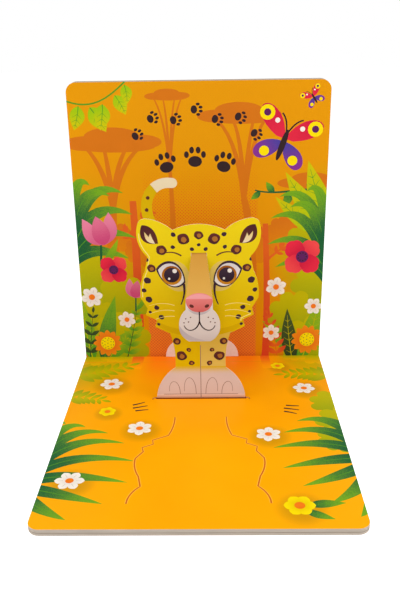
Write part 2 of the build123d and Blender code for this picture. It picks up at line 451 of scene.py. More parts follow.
def turned(points, centre, turn, scale=1.0):
    """Points about the origin, turned, scaled and moved to a centre."""
    c, s = math.cos(math.radians(turn)) * scale, math.sin(math.radians(turn)) * scale
    return [(centre[0] + x * c - y * s, centre[1] + x * s + y * c) for x, y in points]


def reached(centre, reach, turn):
    """Point at a reach from a centre, in a direction."""
    return turned([(reach, 0)], centre, turn)[0]


def raised(points, height):
    return [(x, y + height) for x, y in points]


def mirrored(points):
    return [(-x, y) for x, y in points]


def downward(spot, reach):
    """Fade from a reach above a spot to as far below it."""
    return (spot[0], spot[1] + reach), (spot[0], spot[1] - reach)


def oblong(left, low, right, high):
    return [(left, low), (right, low), (right, high), (left, high)]


def round_angles(count):
    return [2 * math.pi * index / count for index in range(count)]


def ellipse(centre, across, up=None, turn=0.0, count=22):
    up = across if up is None else up
    ring = [(across * math.cos(angle), up * math.sin(angle)) for angle in round_angles(count)]
    return turned(ring, centre, turn)


def curve(*points, count=14):
    """Bezier curve on its control points."""
    controls = [Vector(point) for point in points]
    line = []
    for index in range(count + 1):
        row = controls
        while len(row) > 1:
            row = [a.lerp(b, index / count) for a, b in zip(row, row[1:])]
        line.append((row[0].x, row[0].y))
    return line


def closed_curve(*arcs, count=12):
    """Outline of Bezier arcs, each of which starts where the one before it ends."""
    return [point for arc in arcs for point in curve(*arc, count=count)[:-1]]


def ribbon(line, halves):
    """Outline on both sides of a line, at a half width for each of its points."""
    left, right = [], []
    for index, (point, half) in enumerate(zip(line, halves)):
        before, after = Vector(line[max(index - 1, 0)]), Vector(line[min(index + 1, len(line) - 1)])
        way = (after - before).normalized()
        side = Vector((-way.y, way.x)) * half
        left.append(tuple(Vector(point) + side))
        right.append(tuple(Vector(point) - side))
    return left + right[::-1]


def stroke(line, width, tip=None):
    """Band along a line. With a tip width, it tapers from width to that."""
    tip = width if tip is None else tip
    last = len(line) - 1
    return ribbon(line, [(width + (tip - width) * (index / last)) / 2 for index in range(last + 1)])


def leaf_rib(base, tip, bend, count):
    """Middle line of a leaf that is bent to one side, and the direction across it."""
    start, end = Vector(base), Vector(tip)
    way = end - start
    side = Vector((-way.y, way.x)).normalized()
    return curve(base, (start + end) / 2 + side * bend, tip, count=count), side


def blade(base, tip, width, bend, count=12):
    """Long leaf from its base to its tip, widest before its middle."""
    line, side = leaf_rib(base, tip, bend, count)
    left, right = [], []
    for index, point in enumerate(line):
        half = width / 2 * math.sin(math.pi * (index / count) ** 0.8) + 0.05
        left.append(tuple(Vector(point) + side * half))
        right.append(tuple(Vector(point) - side * half))
    return left + right[::-1]


def petal(centre, reach, width, turn, round_tip=True):
    """Petal that grows out from a centre."""
    middle = ((0.35, 0.30), (0.75, 0.95)) if round_tip else ((0.3, 0.75), (0.7, 0.55))
    half = curve((0, 0), *((reach * x, width * y) for x, y in middle), (reach, 0), count=9)
    other = [(x, -y) for x, y in half[1:-1]]
    return turned(half + other[::-1], centre, turn)


def scallop(centre, radius, lobes, depth=0.12, turn=0.0):
    """Round shape with a wavy rim."""
    ring = []
    for angle in round_angles(lobes * 6):
        reach = radius * (1 - depth + depth * abs(math.cos(lobes * angle / 2)) ** 0.6 * 2)
        ring.append((reach * math.cos(angle), reach * math.sin(angle)))
    return turned(ring, centre, turn)


def patch(centre, radius, rough=0.14, stretch=1.0, turn=0.0, count=16, seed=0):
    """Uneven round spot."""
    rng = random.Random(seed)
    offsets = [rng.uniform(-1, 1) for _ in range(4)]
    ring = []
    for angle in round_angles(count):
        waves = [offset * math.sin((order + 2) * angle + order) for order, offset in enumerate(offsets)]
        reach = radius * (1 + rough * sum(waves) / 3)
        ring.append((reach * math.cos(angle) * stretch, reach * math.sin(angle)))
    return turned(ring, centre, turn)


class Print:
    """Shapes of ink on one sheet, in the order in which they are printed.

    lift is the height in the frame that the shapes' own heights are counted from.
    """

    def __init__(self, lift=0.0):
        self.lift = lift
        self.shapes = []

    def add(self, outline, colour, fade=NO_FADE):
        """A shape, its ink and the line, from start to end, along which the ink changes."""
        self.shapes.append((raised(outline, self.lift), colour, raised(fade, self.lift)))

    def add_pair(self, outline, colour, fade=NO_FADE):
        """A shape, and its mirror image on the other side of the middle."""
        self.add(outline, colour, fade)
        self.add(mirrored(outline), colour, mirrored(fade))


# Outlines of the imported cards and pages


def loop_area(loop):
    return sum(a[0] * b[1] - b[0] * a[1] for a, b in zip(loop, loop[1:] + loop[:1])) / 2


def anticlockwise(loop):
    return loop if loop_area(loop) > 0 else loop[::-1]


def rim_edges(faces):
    """Edges of faces that no neighbour shares, from start to end."""
    edges = set()
    for corners in faces:
        for start, end in zip(corners, corners[1:] + corners[:1]):
            if (end, start) in edges:
                edges.discard((end, start))
            else:
                edges.add((start, end))
    return edges


def facing_loops(node, axis, sign, level=None, near=0.01):
    """Outlines of a node's faces that look along an axis, in millimetres, with the largest first.

    Their points are (across, up, depth). With a level, only faces at it or beyond it count.
    """
    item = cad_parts[node]
    found = [item.matrix_world @ vertex.co for vertex in item.data.vertices]
    spots = [tuple(round(part / MM, 4) for part in spot) for spot in found]
    faces = []
    for face in item.data.polygons:
        corners = [spots[index] for index in face.vertices]
        a, b, c = (Vector(corner) for corner in corners[:3])
        normal = (b - a).cross(c - a)
        short = level is not None and min(sign * (corner[axis] - level) for corner in corners) <= -near
        if sign * normal.normalized()[axis] > FACING and not short:
            faces.append(corners)
    follow = dict(rim_edges(faces))
    across, up = (other for other in range(3) if other != axis)
    loops = []
    while follow:
        start, point = min(follow.items())
        loop = [start]
        follow.pop(start)
        while point != start and point in follow:
            loop.append(point)
            point = follow.pop(point)
        loops.append([(spot[across], spot[up], spot[axis]) for spot in loop])
    return sorted(loops, key=lambda loop: -abs(loop_area(loop)))


def flat_loop(loop, same=1e-4):
    """Flat outline without repeated points or points on a straight run."""
    kept = []
    for index, (x, y, _) in enumerate(loop):
        before = Vector((x, y)) - Vector(loop[index - 1][:2])
        after = Vector(loop[(index + 1) % len(loop)][:2]) - Vector((x, y))
        if min(before.length, after.length) > same:
            if abs(before.normalized().cross(after.normalized())) > same:
                kept.append((x, y))
    return kept


def divided(outline, holes, printed, lines):
    """Corners of a sheet, and its triangles, each with the ink and the fade of the shape on top there."""
    spots, areas, edges = [], [], []
    for loop in [outline, *holes, *(shape for shape, _, _ in printed.shapes)]:
        areas.append(list(range(len(spots), len(spots) + len(loop))))
        spots.extend(Vector(point) for point in anticlockwise(loop))
    for ends in lines:
        edges.append((len(spots), len(spots) + 1))
        spots.extend(Vector(point) for point in ends)
    found, _, triangles, _, _, sources = delaunay_2d_cdt(spots, edges, areas, 0, SAME_SPOT, True)

    first_shape = 1 + len(holes)
    kept = []
    for triangle, source in zip(triangles, sources):
        a, b, c = (found[index] for index in triangle)
        in_hole = any(1 <= index < first_shape for index in source)
        if 0 not in source or in_hole or abs((b - a).cross(c - a)) < SLIVER:
            continue
        top = max(source) - first_shape
        _, colour, fade = printed.shapes[top] if top >= 0 else (None, None, NO_FADE)
        kept.append((triangle, colour, fade))
    return found, kept


def fade_at(corner, start, end):
    """How far a corner has come along a fade, from 0 at its start to 1 at its end."""
    way = Vector(end) - Vector(start)
    return (corner - Vector(start)).dot(way) / max(way.length_squared, 1e-9)


def cut_sheet(name, outline, holes, printed, ground, place, lines=()):
    """Closed sheet of card or paper, whose front is divided into its printed shapes.

    place gives the point in millimetres for a place on the sheet, on its front (0) or its back (1).
    lines are extra lines, along which it bends.
    """
    found, kept = divided(outline, holes, printed, lines)
    materials = [ground, plain_card("card_back"), plain_card("cut_edge")]
    numbers, fades = [], []
    for triangle, colour, fade in kept:
        material = ink(colour) if colour else ground
        if material not in materials:
            materials.append(material)
        numbers.append(materials.index(material))
        fades += [fade_at(found[index], *fade) for index in triangle]

    used = sorted({index for triangle, _, _ in kept for index in triangle})
    number = {index: at for at, index in enumerate(used)}
    count = len(used)
    points = [place(found[index].x, found[index].y, side) for side in (0, 1) for index in used]
    front = [[number[index] for index in triangle] for triangle, _, _ in kept]
    back = [[index + count for index in reversed(corners)] for corners in front]
    rim = [[b, a, a + count, b + count] for a, b in sorted(rim_edges(front))]
    numbers += [1] * len(back) + [2] * len(rim)
    fades += [0.0] * (3 * len(back) + 4 * len(rim))
    return mesh_object(name, points, front + back + rim, materials, numbers, fades)


def mesh_object(name, points, polygons, materials, numbers=None, fades=None):
    """Object from points in millimetres."""
    mesh = bpy.data.meshes.new(name)
    mesh.from_pydata([Vector(point) * MM for point in points], [], polygons)
    for material in materials:
        mesh.materials.append(material)
    if numbers:
        mesh.polygons.foreach_set("material_index", numbers)
    if fades:
        attribute = mesh.attributes.new("fade", "FLOAT", "CORNER")
        attribute.data.foreach_set("value", fades)
    mesh.update()
    piece = bpy.data.objects.new(name, mesh)
    bpy.context.scene.collection.objects.link(piece)
    return piece


# Motifs, each printed on a sheet


def flower(printed, centre, size, turn, petals, inks, heart, width, lined=False, dotted=False):
    """Ring of petals about a round heart: petals may have a line each, and the heart may have dots."""
    petal_ink, heart_ink = inks
    reach = size / 2
    for index in range(petals):
        angle = turn + 360 * index / petals
        tip = reached(centre, reach, angle)
        printed.add(petal(centre, reach, reach * width, angle), petal_ink, (tip, centre))
        if lined:
            ends = turned([(reach * 0.42, 0), (reach * 0.78, 0)], centre, angle)
            printed.add(stroke(ends, size * 0.02, size * 0.01), "petal_line")
    below = (centre[0], centre[1] - size * heart)
    printed.add(ellipse(centre, size * heart / 2), heart_ink, (centre, below))
    if not dotted:
        return
    for ring, count in ((0.0, 1), (0.5, 6), (0.82, 11)):
        reach = size * heart / 2 * ring
        for angle in round_angles(count):
            spot = (centre[0] + reach * math.cos(angle + ring), centre[1] + reach * math.sin(angle + ring))
            printed.add(ellipse(spot, size * heart * 0.035, count=8), "spot")


def white_flower(printed, x, y, size, turn):
    flower(printed, (x, y), size, turn, 6, ("white", "orange"), 0.28, 0.66, lined=True)


def yellow_flower(printed, x, y, size, turn):
    flower(printed, (x, y), size, turn, 6, ("yellow", "orange"), 0.34, 0.8)


def sunny_flower(printed, x, y, size, turn, heart):
    flower(printed, (x, y), size, turn, 12, ("orange_petal", "yellow"), heart, 0.42, dotted=True)


def tulip(printed, centre, size, turn):
    """Tulip head: two side petals behind a middle one, on a short stem with a leaf."""
    x, y = centre
    stem_end = (x - size * 0.04, y - size * 0.9)
    leaf_ends = (x, y - size * 0.85), (x + size * 0.42, y - size * 0.15)
    printed.add(stroke([centre, stem_end], size * 0.06), "dark_green")
    printed.add(blade(*leaf_ends, size * 0.18, -size * 0.08), "mid_green", (stem_end, centre))

    def add(outline, colour, start, end):
        printed.add(turned(outline, centre, turn, size), colour, turned((start, end), centre, turn, size))

    foot = (0, -0.30)
    for side in (-1, 1):
        tip = (side * 0.34, 0.46)
        outer = ((0, -0.32), (side * 0.62, -0.22), (side * 0.40, 0.26), tip)
        inner = (tip, (side * 0.10, 0.26), (0, 0.0), (0, -0.32))
        add(closed_curve(outer, inner), "pink", tip, foot)
    middle = curve((0, -0.32), (0.36, -0.20), (0.22, 0.22), (0, 0.44), count=12)
    add(middle + mirrored(middle[1:-1])[::-1], "dark_pink", foot, (0, 0.44))


def poppy(printed, centre, size):
    """Poppy: broad overlapping petals about a dotted dark heart."""
    for turn, colour in ((45, "light_red"), (135, "red"), (225, "light_red"), (315, "red")):
        shape = scallop(reached(centre, size * 0.26, turn), size * 0.23, 5, 0.06, turn)
        printed.add(shape, colour, (reached(centre, size * 0.5, turn), centre))
    printed.add(ellipse(centre, size * 0.15), "purple")
    for angle in round_angles(9):
        spot = (centre[0] + size * 0.10 * math.cos(angle), centre[1] + size * 0.10 * math.sin(angle))
        printed.add(ellipse(spot, size * 0.018, count=8), "dark_print")


def fern(printed, route, leaf, count, stem_ink, leaf_ink):
    """Curved stem with pairs of oval leaflets that shrink towards its tip."""
    line = curve(*route, count=10)
    printed.add(stroke(line, 0.8, 0.32), stem_ink)
    for index in range(1, count + 1):
        share = index / (count + 0.6)
        at = share * (len(line) - 1)
        low = int(at)
        a, b = Vector(line[low]), Vector(line[min(low + 1, len(line) - 1)])
        spot = tuple(a.lerp(b, at - low))
        way = math.degrees(math.atan2(*(b - a).normalized().yx))
        reach = leaf * (1 - 0.55 * share)
        for turn in (way - 52, way + 52):
            shape = petal(spot, reach, reach * 0.42, turn, False)
            printed.add(shape, leaf_ink, (spot, reached(spot, reach, turn)))
    tip = line[-1]
    way = math.degrees(math.atan2(tip[1] - line[-2][1], tip[0] - line[-2][0]))
    shape = petal(tip, leaf * 0.5, leaf * 0.2, way, False)
    printed.add(shape, leaf_ink, (tip, reached(tip, leaf * 0.5, way)))


def tuft(printed, base, tips, width, lift):
    """Long leaves with a fine rib, which rise from one base and hang over to their tips."""
    count = 16
    shares = [index / count for index in range(count + 1)]
    halves = [width / 2 * math.sin(math.pi * share ** 0.75) ** 0.8 + 0.08 for share in shares]
    for tip in tips:
        across, rise = tip[0] - base[0], tip[1] - base[1]
        line = curve(base, (base[0] + across * 0.25, base[1] + rise + lift), tip, count=count)
        printed.add(ribbon(line, halves), "dark_green", (line[5], tip))
        printed.add(stroke(line[1:-3], width * 0.07, width * 0.03), "mid_green")


def broad_leaf(printed, base, tip, width, bend, leaf_ink, rib_ink, veins):
    """Broad pointed leaf with a rib and veins."""
    count = 18
    line, _ = leaf_rib(base, tip, bend, count)
    printed.add(blade(base, tip, width, bend, count), leaf_ink, (base, tip))
    printed.add(stroke(line[:-2], width * 0.06, width * 0.02), rib_ink)
    for index in range(1, veins + 1):
        at = 2 + int(index * 12 / veins)
        spot = Vector(line[at])
        ahead = (Vector(line[at + 1]) - spot).normalized()
        reach = width * 0.34 * math.sin(math.pi * (at / count) ** 0.8)
        for hand in (-1, 1):
            out = spot + (ahead * 0.8 + Vector((-ahead.y, ahead.x)) * hand) * reach
            printed.add(stroke([spot, out], width * 0.035, width * 0.012), rib_ink)


def broad_leaves(printed, inks, veins, rows):
    """Broad leaves of one kind, each with its base, tip, width and bend."""
    for base, tip, width, bend in rows:
        broad_leaf(printed, base, tip, width, bend, *inks, veins)


def bush(printed, rounds):
    """Heap of scalloped rounds."""
    for index, (x, y, radius) in enumerate(rounds):
        printed.add(scallop((x, y), radius, 9, turn=17 * index), "lime", downward((x, y), radius))


def flat_tree(printed, foot, crown, width):
    """Distant tree with a flat crown on a forked trunk."""
    fork = (foot[0] * 0.4 + crown[0] * 0.6, foot[1] * 0.45 + crown[1] * 0.55)
    trunk = curve(foot, (foot[0], fork[1] - 20), fork, count=8)
    printed.add(stroke(trunk, width * 0.16, width * 0.08), "far_tree")
    for side in (-1, -0.3, 0.6, 1.1):
        tip = (crown[0] + side * width * 0.34, crown[1])
        limb = curve(fork, (fork[0] + side * width * 0.1, crown[1] - 10), tip, count=8)
        printed.add(stroke(limb, width * 0.07, width * 0.03), "far_tree")
    rounds = (
        (-0.28, 0.0, 0.24, 0.08), (0.0, 0.07, 0.30, 0.10),
        (0.3, 0.01, 0.24, 0.08), (0.05, -0.04, 0.42, 0.06),
    )
    for x, y, across, up in rounds:
        spot = (crown[0] + x * width, crown[1] + y * width)
        printed.add(ellipse(spot, across * width, up * width), "far_tree")


def paw_print(printed, centre, size, turn):
    """One pad and four toes."""
    printed.add(turned(ellipse((0, -0.18), 0.34, 0.27), centre, turn, size), "dark_print")
    for x, y in ((-0.42, 0.16), (-0.16, 0.38), (0.16, 0.38), (0.42, 0.16)):
        toe = ellipse((x, y), 0.12, 0.17, count=12)
        printed.add(turned(toe, centre, turn, size), "dark_print")


def butterfly(printed, centre, size, turn):
    """Butterfly with open wings."""
    wings = (
        (((0, 0.05), (0.15, 0.75), (0.95, 0.85), (0.85, 0.2), (0, 0.0)), "red", (0.7, 0.6)),
        (((0, 0.0), (0.6, 0.0), (0.75, -0.5), (0.3, -0.75), (0, -0.1)), "blue", (0.4, -0.5)),
    )
    rounds = (
        (0.50, 0.42, 0.15, "yellow"), (0.50, 0.42, 0.07, "purple"),
        (0.30, -0.30, 0.10, "yellow"), (0.26, 0.34, 0.05, "white"),
    )

    def placed(points):
        return turned(points, centre, turn, size)

    for side in (-1, 1):
        for controls, colour, tip in wings:
            wing = [(side * x, y) for x, y in curve(*controls, count=18)[:-1]]
            printed.add(placed(wing), colour, (centre, *placed([(side * tip[0], tip[1])])))
        for x, y, radius, colour in rounds:
            printed.add(placed(ellipse((side * x, y), radius, count=14)), colour)
        feeler = curve((0, 0.1), (side * 0.06, 0.42), (side * 0.22, 0.50), count=8)
        printed.add(placed(stroke(feeler, 0.03)), "dark_print")
    printed.add(placed(ellipse((0, -0.08), 0.06, 0.32)), "dark_print")


def rosette(printed, centre, radius, turn, seed):
    """Spot of a big cat: a broken dark ring about a tan heart."""
    printed.add(patch(centre, radius, 0.16, 1.1, turn, seed=seed), "spot", downward(centre, radius))
    heart = turned([(radius * 0.12, -radius * 0.1)], centre, turn)[0]
    printed.add(patch(heart, radius * 0.5, 0.2, 1.0, turn, seed=seed + 7), "tan_spot")


# Print of the standing page: across from the middle, and up from the table


def far_trees(printed):
    """Distant bushes and trees, and the two near trunks."""
    bushes = ((-80, 96, 15), (-62, 102, 11), (-44, 92, 12), (44, 94, 12), (62, 104, 13), (82, 98, 14))
    for x, y, radius in bushes:
        printed.add(scallop((x, y), radius, 11, 0.07, x), "far_tree", downward((x, y), radius))
    flat_tree(printed, (-66, 70), (-62, 172), 66)
    flat_tree(printed, (38, 60), (28, 190), 56)
    flat_tree(printed, (84, 70), (80, 142), 46)
    flat_tree(printed, (-20, 90), (-22, 204), 30)
    left = curve((-50, -6), (-47, 60), (-49, 130), count=10)
    printed.add(stroke(left, 8, 5), "trunk", ((-50, 130), (-50, 0)))
    right = curve((49, -6), (52, 30), (48, 112), count=10)
    printed.add(stroke(right, 6, 4), "trunk", ((48, 112), (48, 0)))
    for x, y, turn in ((-47, 96, 130), (-48, 110, 48), (50, 84, 40), (50, 98, 132)):
        fade = ((x, y + 20), (x, y - 60))
        tip = reached((x, y), 15, turn)
        printed.add(stroke([(x, y), tip], 2.2, 0.9), "trunk", fade)
        for share in (0.55, 0.85, 1.0):
            spot = (x + (tip[0] - x) * share, y + (tip[1] - y) * share)
            for side in (-50, 50):
                printed.add(petal(spot, 6, 2.6, turn + side, False), "trunk", fade)


def hanging_leaves(printed, rows, width, bend, inks):
    """Leaves that grow from places on a twig, each with its turn and size."""
    rows = [((x, y), reached((x, y), size, turn), size * width, bend) for x, y, turn, size in rows]
    broad_leaves(printed, inks, 3, rows)


def vine_and_twig(printed):
    vine = curve((-96, 203), (-72, 192), (-60, 206), (-44, 220), count=16)
    printed.add(stroke(vine, 1.1), "mid_green")
    rows = (
        (-84, 198, -104, 17), (-76, 197, -58, 20), (-67, 199, -98, 18),
        (-58, 205, -62, 15), (-51, 212, -84, 13),
    )
    hanging_leaves(printed, rows, 0.62, 1.0, ("light_lime", "mid_green"))
    rows = (
        (78, 138, 58, 10), (66, 136, -112, 13), (54, 135, 126, 10),
        (86, 137, -76, 15), (44, 136, -140, 9),
    )
    hanging_leaves(printed, rows, 0.5, 0.6, ("dark_green", "mid_green"))
    twig = curve((96, 136), (74, 140), (58, 132), (40, 137), count=16)
    printed.add(stroke(twig, 2.0, 1.0), "dark_green")


def undergrowth(printed):
    """Bushes, leaves and ferns on both sides of the figure."""
    bush(printed, ((-82, 70, 21), (-60, 52, 19), (-88, 34, 22), (-64, 18, 22)))
    bush(printed, ((84, 98, 18), (90, 62, 20), (72, 38, 19), (86, 14, 22)))
    fan = (((98, 104), (62, 150), 15, 5), ((98, 104), (78, 158), 16, 3), ((98, 104), (55, 132), 13, 7))
    broad_leaves(printed, ("light_lime", "mid_green"), 6, fan)
    tips = ((58, 132), (52, 116), (66, 124), (50, 96), (78, 136), (56, 78))
    tuft(printed, (98, 58), tips, 8.5, 16)
    tips = ((-56, 136), (-50, 120), (-66, 134), (-48, 102), (-80, 142), (-54, 86))
    tuft(printed, (-100, 76), tips, 9.5, 16)
    left = (((-76, 0), (-44, 30), 13, 5), ((-86, 0), (-92, 54), 14, 3))
    right = (((76, 0), (47, 34), 13, -5), ((78, 0), (90, 52), 14, -3))
    broad_leaves(printed, ("mid_green", "lime"), 6, left + right)
    broad_leaf(printed, (-78, -4), (-66, 56), 13, 3, "dark_green", "mid_green", 6)
    broad_leaf(printed, (72, -4), (66, 44), 12, 2, "deep_green", "lime", 6)
    fern(printed, ((-60, 0), (-54, 22), (-50, 44)), 12, 6, "deep_green", "mid_green")
    fern(printed, ((59, 0), (58, 20), (51, 40)), 11, 6, "trunk", "trunk")
    fern(printed, ((-89, 0), (-87, 22), (-84, 42)), 11, 5, "deep_green", "deep_green")


def standing_flowers(printed):
    tulip(printed, (-74, 106), 30, 14)
    tulip(printed, (-50, 60), 19, -12)
    poppy(printed, (-66, 77), 24)
    poppy(printed, (76, 86), 31)
    for row in ((-84, 55, 17, 12), (-58, 36, 14, 40), (57, 62, 16, 20), (86, 46, 14, 0), (54, 24, 14, 30)):
        white_flower(printed, *row)
    sunny_flower(printed, -74, 16, 23, 0, 0.48)
    sunny_flower(printed, 82, 18, 25, 10, 0.46)


def paw_trail(printed):
    """Seven paw prints on an arc, left and right of it in turn, and three large ones below."""
    for index in range(7):
        angle = math.radians(121 - index * 10.4)
        reach = 84 + (2.8 if index % 2 else -2.8)
        spot = (-2 + reach * math.cos(angle), 108 + reach * math.sin(angle))
        paw_print(printed, spot, 8.4, math.degrees(angle) - 178)
    for x, y, turn in ((-24, 157, 12), (-3, 161, 0), (18, 157, -12)):
        paw_print(printed, (x, y), 14.5, turn)


def cat_tail(printed):
    """Tail that shows beside the figure's ear."""
    tail = curve((-26, 100), (-48, 118), (-40, 146), (-20, 143), count=18)
    printed.add(stroke(tail, 8.5, 7.5), "fur", ((-40, 100), (-30, 160)))
    printed.add(stroke(tail[-6:], 7.8, 7.4), "cream")
    printed.add(ellipse(tail[-1], 3.7), "cream")
    for at in (4, 7, 10):
        printed.add(patch(tail[at], 1.4, seed=at), "spot")


def standing_print():
    """Print of the standing page."""
    printed = Print()
    far_trees(printed)
    vine_and_twig(printed)
    butterfly(printed, (60, 172), 36, -20)
    butterfly(printed, (80, 202), 12, 32)
    undergrowth(printed)
    standing_flowers(printed)
    paw_trail(printed)
    cat_tail(printed)
    return printed


# Print of the lying page: across from the middle, and back from the middle of the board


def lying_print(card, holes):
    """Print of the lying page, and of the sheet that goes on to the fold.

    card is the outline of the figure above the page, and holes are the outlines of the slit's parts.
    """
    printed = Print()
    trunk_end = BOARD_END - 12
    for x, width in ((-50, 9), (49, 7)):
        shape = stroke([(x, FOLD + 1), (x * 1.02, trunk_end)], width)
        printed.add(shape, "trunk_foot", ((x, FOLD), (x, trunk_end)))
    for x, y, radius in ((-84, FOLD, 14), (-68, FOLD + 2, 12), (88, FOLD, 14), (72, FOLD + 3, 11)):
        printed.add(scallop((x, y), radius, 9, 0.12, x), "lime_foot", ((x, y), (x, y - radius)))
    tips = ((-48, -16), (-40, -36), (-60, -4), (-42, -58), (-76, 4), (-54, -78), (-72, -92), (-90, 8))
    tuft(printed, (-106, -62), tips, 10.0, 14)
    bush(printed, ((94, 34, 17), (98, 8, 20), (90, -12, 14)))
    tips = ((54, -4), (46, -22), (64, 10), (50, -44), (60, -62), (74, -78), (88, -90))
    tuft(printed, (106, -36), tips, 10.0, 14)
    fern(printed, ((-98, 78), (-80, 80), (-56, 94)), 19, 6, "lime", "lime")
    fern(printed, ((-98, 44), (-84, 46), (-70, 40)), 15, 5, "lime", "lime")
    fern(printed, ((98, 74), (84, 80), (62, 78)), 17, 6, "lime", "lime")
    for row in LYING_WHITES:
        white_flower(printed, *row)
    small = (((60, -80), (82, -78), 7, 1), ((58, -84), (74, -92), 6, -1))
    broad_leaves(printed, ("dark_green", "mid_green"), 4, small)
    for row in LYING_YELLOWS:
        yellow_flower(printed, *row)
    scratches(printed, (-42, 30), 18)
    scratches(printed, (62, 26), -14)
    pressed_lines(printed, card)
    # painted shade along the score, where the sheet leaves the board
    printed.add(stroke([(-HALF_WIDTH - 1, BOARD_END), (HALF_WIDTH + 1, BOARD_END)], 0.5), "score_shade")
    # painted shade along the edges of the slit and its hooks
    for hole in holes:
        for a, b in zip(hole, hole[1:] + hole[:1]):
            if (Vector(a) - Vector(b)).length > 0.3:
                printed.add(stroke([a, b], 0.9), "slit_edge_shade")
    return printed


def scratches(printed, centre, turn):
    """Three short scratch marks that spread a little."""
    for index in (-1, 0, 1):
        reach = 5.2 - abs(index) * 0.8
        mark = stroke([(-reach, 4.2 * index), (0, 4.6 * index), (reach, 5.4 * index)], 1.7, 0.9)
        printed.add(turned(mark, centre, turn), "dark_print")


def pressed_lines(printed, card):
    """Lines that the folded figure has pressed into the page, mirrored forward from its slit, each drawn
    as painted shade in its groove with a painted highlight beside it.
    """
    nearest, farthest = PRESSED
    runs = [[]]
    for x, height in card:
        if height > nearest:
            point = (x, SLIT - height)
            if runs[-1] and (Vector(point) - Vector(runs[-1][-1])).length > LINE_BREAK:
                runs.append([])
            runs[-1].append(point)
    for run in runs:
        for side in (-1, 1):
            line = [(x, y) for x, y in run if side * x > PRESSED_MIDDLE and y > SLIT - farthest]
            if len(line) > 2:
                # painted highlight beside each pressed line, then painted shade in its groove
                printed.add(stroke(spaced(line), 1.7), "pressed_highlight")
                printed.add(stroke(spaced(line), 1.0), "pressed_groove_shade")


def spaced(line, gap=1.4):
    """Line without points closer together than a gap."""
    kept = [line[0]]
    for point in line[1:]:
        if (Vector(point) - Vector(kept[-1])).length > gap:
            kept.append(point)
    return kept


# Print of the figure and its snout, by their front views: heights are counted from the lying page


def inset(outline, gap, low):
    """Parts above a height of the line that runs inside an outline at a gap, as open lines."""
    loop = anticlockwise(outline)
    runs, run = [], []
    for index, point in enumerate(loop):
        before, after = Vector(loop[index - 1]), Vector(loop[(index + 1) % len(loop)])
        way = (after - before).normalized()
        moved = (point[0] - way.y * gap, point[1] + way.x * gap)
        if moved[1] < low:
            runs.append(run)
            run = []
        else:
            run.append(moved)
    return [run for run in runs + [run] if len(run) > 2]


def figure_print(card):
    """Print of the standing cat, on the outline of its card."""
    printed = Print(PAGE_TOP)
    crease, _ = CREASES
    for corners, colour, fade in (
        ((-50, 50, 50, 140), "light_fur", ((0, 140), (0, 50))),
        ((0, 15, 30, 51), "cream_fur", ((0, 20), (0, 60))),
        ((-40, -6, 40, 18.5), "paw", ((0, 14), (0, -8))),
        ((-40, 18.5, 40, 25), "paw_to_fur", ((0, 18.5), (0, 25))),
        # painted light on the facet below the crease, turning to painted shade where the card goes into
        # the page
        ((-40, -6, 40, crease), "paw_band_light_and_shade", ((0, crease), (0, 0))),
        # painted shade inside the slit, on the card below the page's surface
        ((-40, -6, 40, 0.2), "slit_shadow", NO_FADE),
    ):
        printed.add(oblong(*corners), colour, fade)
    for line in inset(card, 1.5, 58):
        printed.add(stroke(line, 0.55), "rim")
    jaw = curve((-31, 58), (-20, 44), (20, 44), (31, 58), count=24)
    inner_jaw = curve((31, 61), (20, 49), (-20, 49), (-31, 61), count=24)
    printed.add(jaw + inner_jaw, "fur_shade")
    printed.add(stroke([(0, 0.5), (0, 41)], 0.5), "toe_print_and_crease_shade")
    # painted shade along the crease, in the ink of the toe lines
    printed.add(stroke([(-26, crease), (26, crease)], 0.4), "toe_print_and_crease_shade")
    for x, reach, wide in ((8.0, 16.5, 4.6), (18.8, 12.5, 4.2)):
        high = reach + 3.5
        toe = curve((x - wide, 3.6), (x - wide, high), (x + wide, high), (x + wide * 0.8, 5.5), count=12)
        printed.add_pair(stroke(toe, 0.45, 0.3), "toe_print_and_crease_shade")
    cat_spots(printed)
    cat_face(printed)
    return printed


def cat_spots(printed):
    rosettes = (
        (13, 33, 3.4, 1), (6.2, 27.5, 1.8, 2), (16, 44, 2.5, 3), (8, 37.5, 1.5, 4),
        (10, 117, 3.7, 11), (24.5, 109.5, 3.3, 12), (31.5, 97, 2.7, 13),
    )
    for x, y, radius, seed in rosettes:
        rosette(printed, (x, y), radius, 24, seed)
        rosette(printed, (-x, y), radius, -24, seed)
    rosette(printed, (0, 119.5), 2.8, 0, 14)
    small = (
        (4.5, 110, 1.3), (16.5, 120, 1.5), (17, 111.5, 1.3), (0, 113, 1.1),
        (34.5, 103, 1.3), (34.5, 88.5, 2.2), (37, 81.5, 1.5), (34, 75, 2.1),
        (29, 69, 1.6), (33.5, 65.8, 1.0), (26, 62, 1.7), (28, 56.8, 1.0),
    )
    for index, (x, y, radius) in enumerate(small):
        for side in (-1, 1):
            if x or side > 0:
                printed.add(patch((side * x, y), radius, 0.16, 1.15, 30 * side, 12, index), "dark_spot")


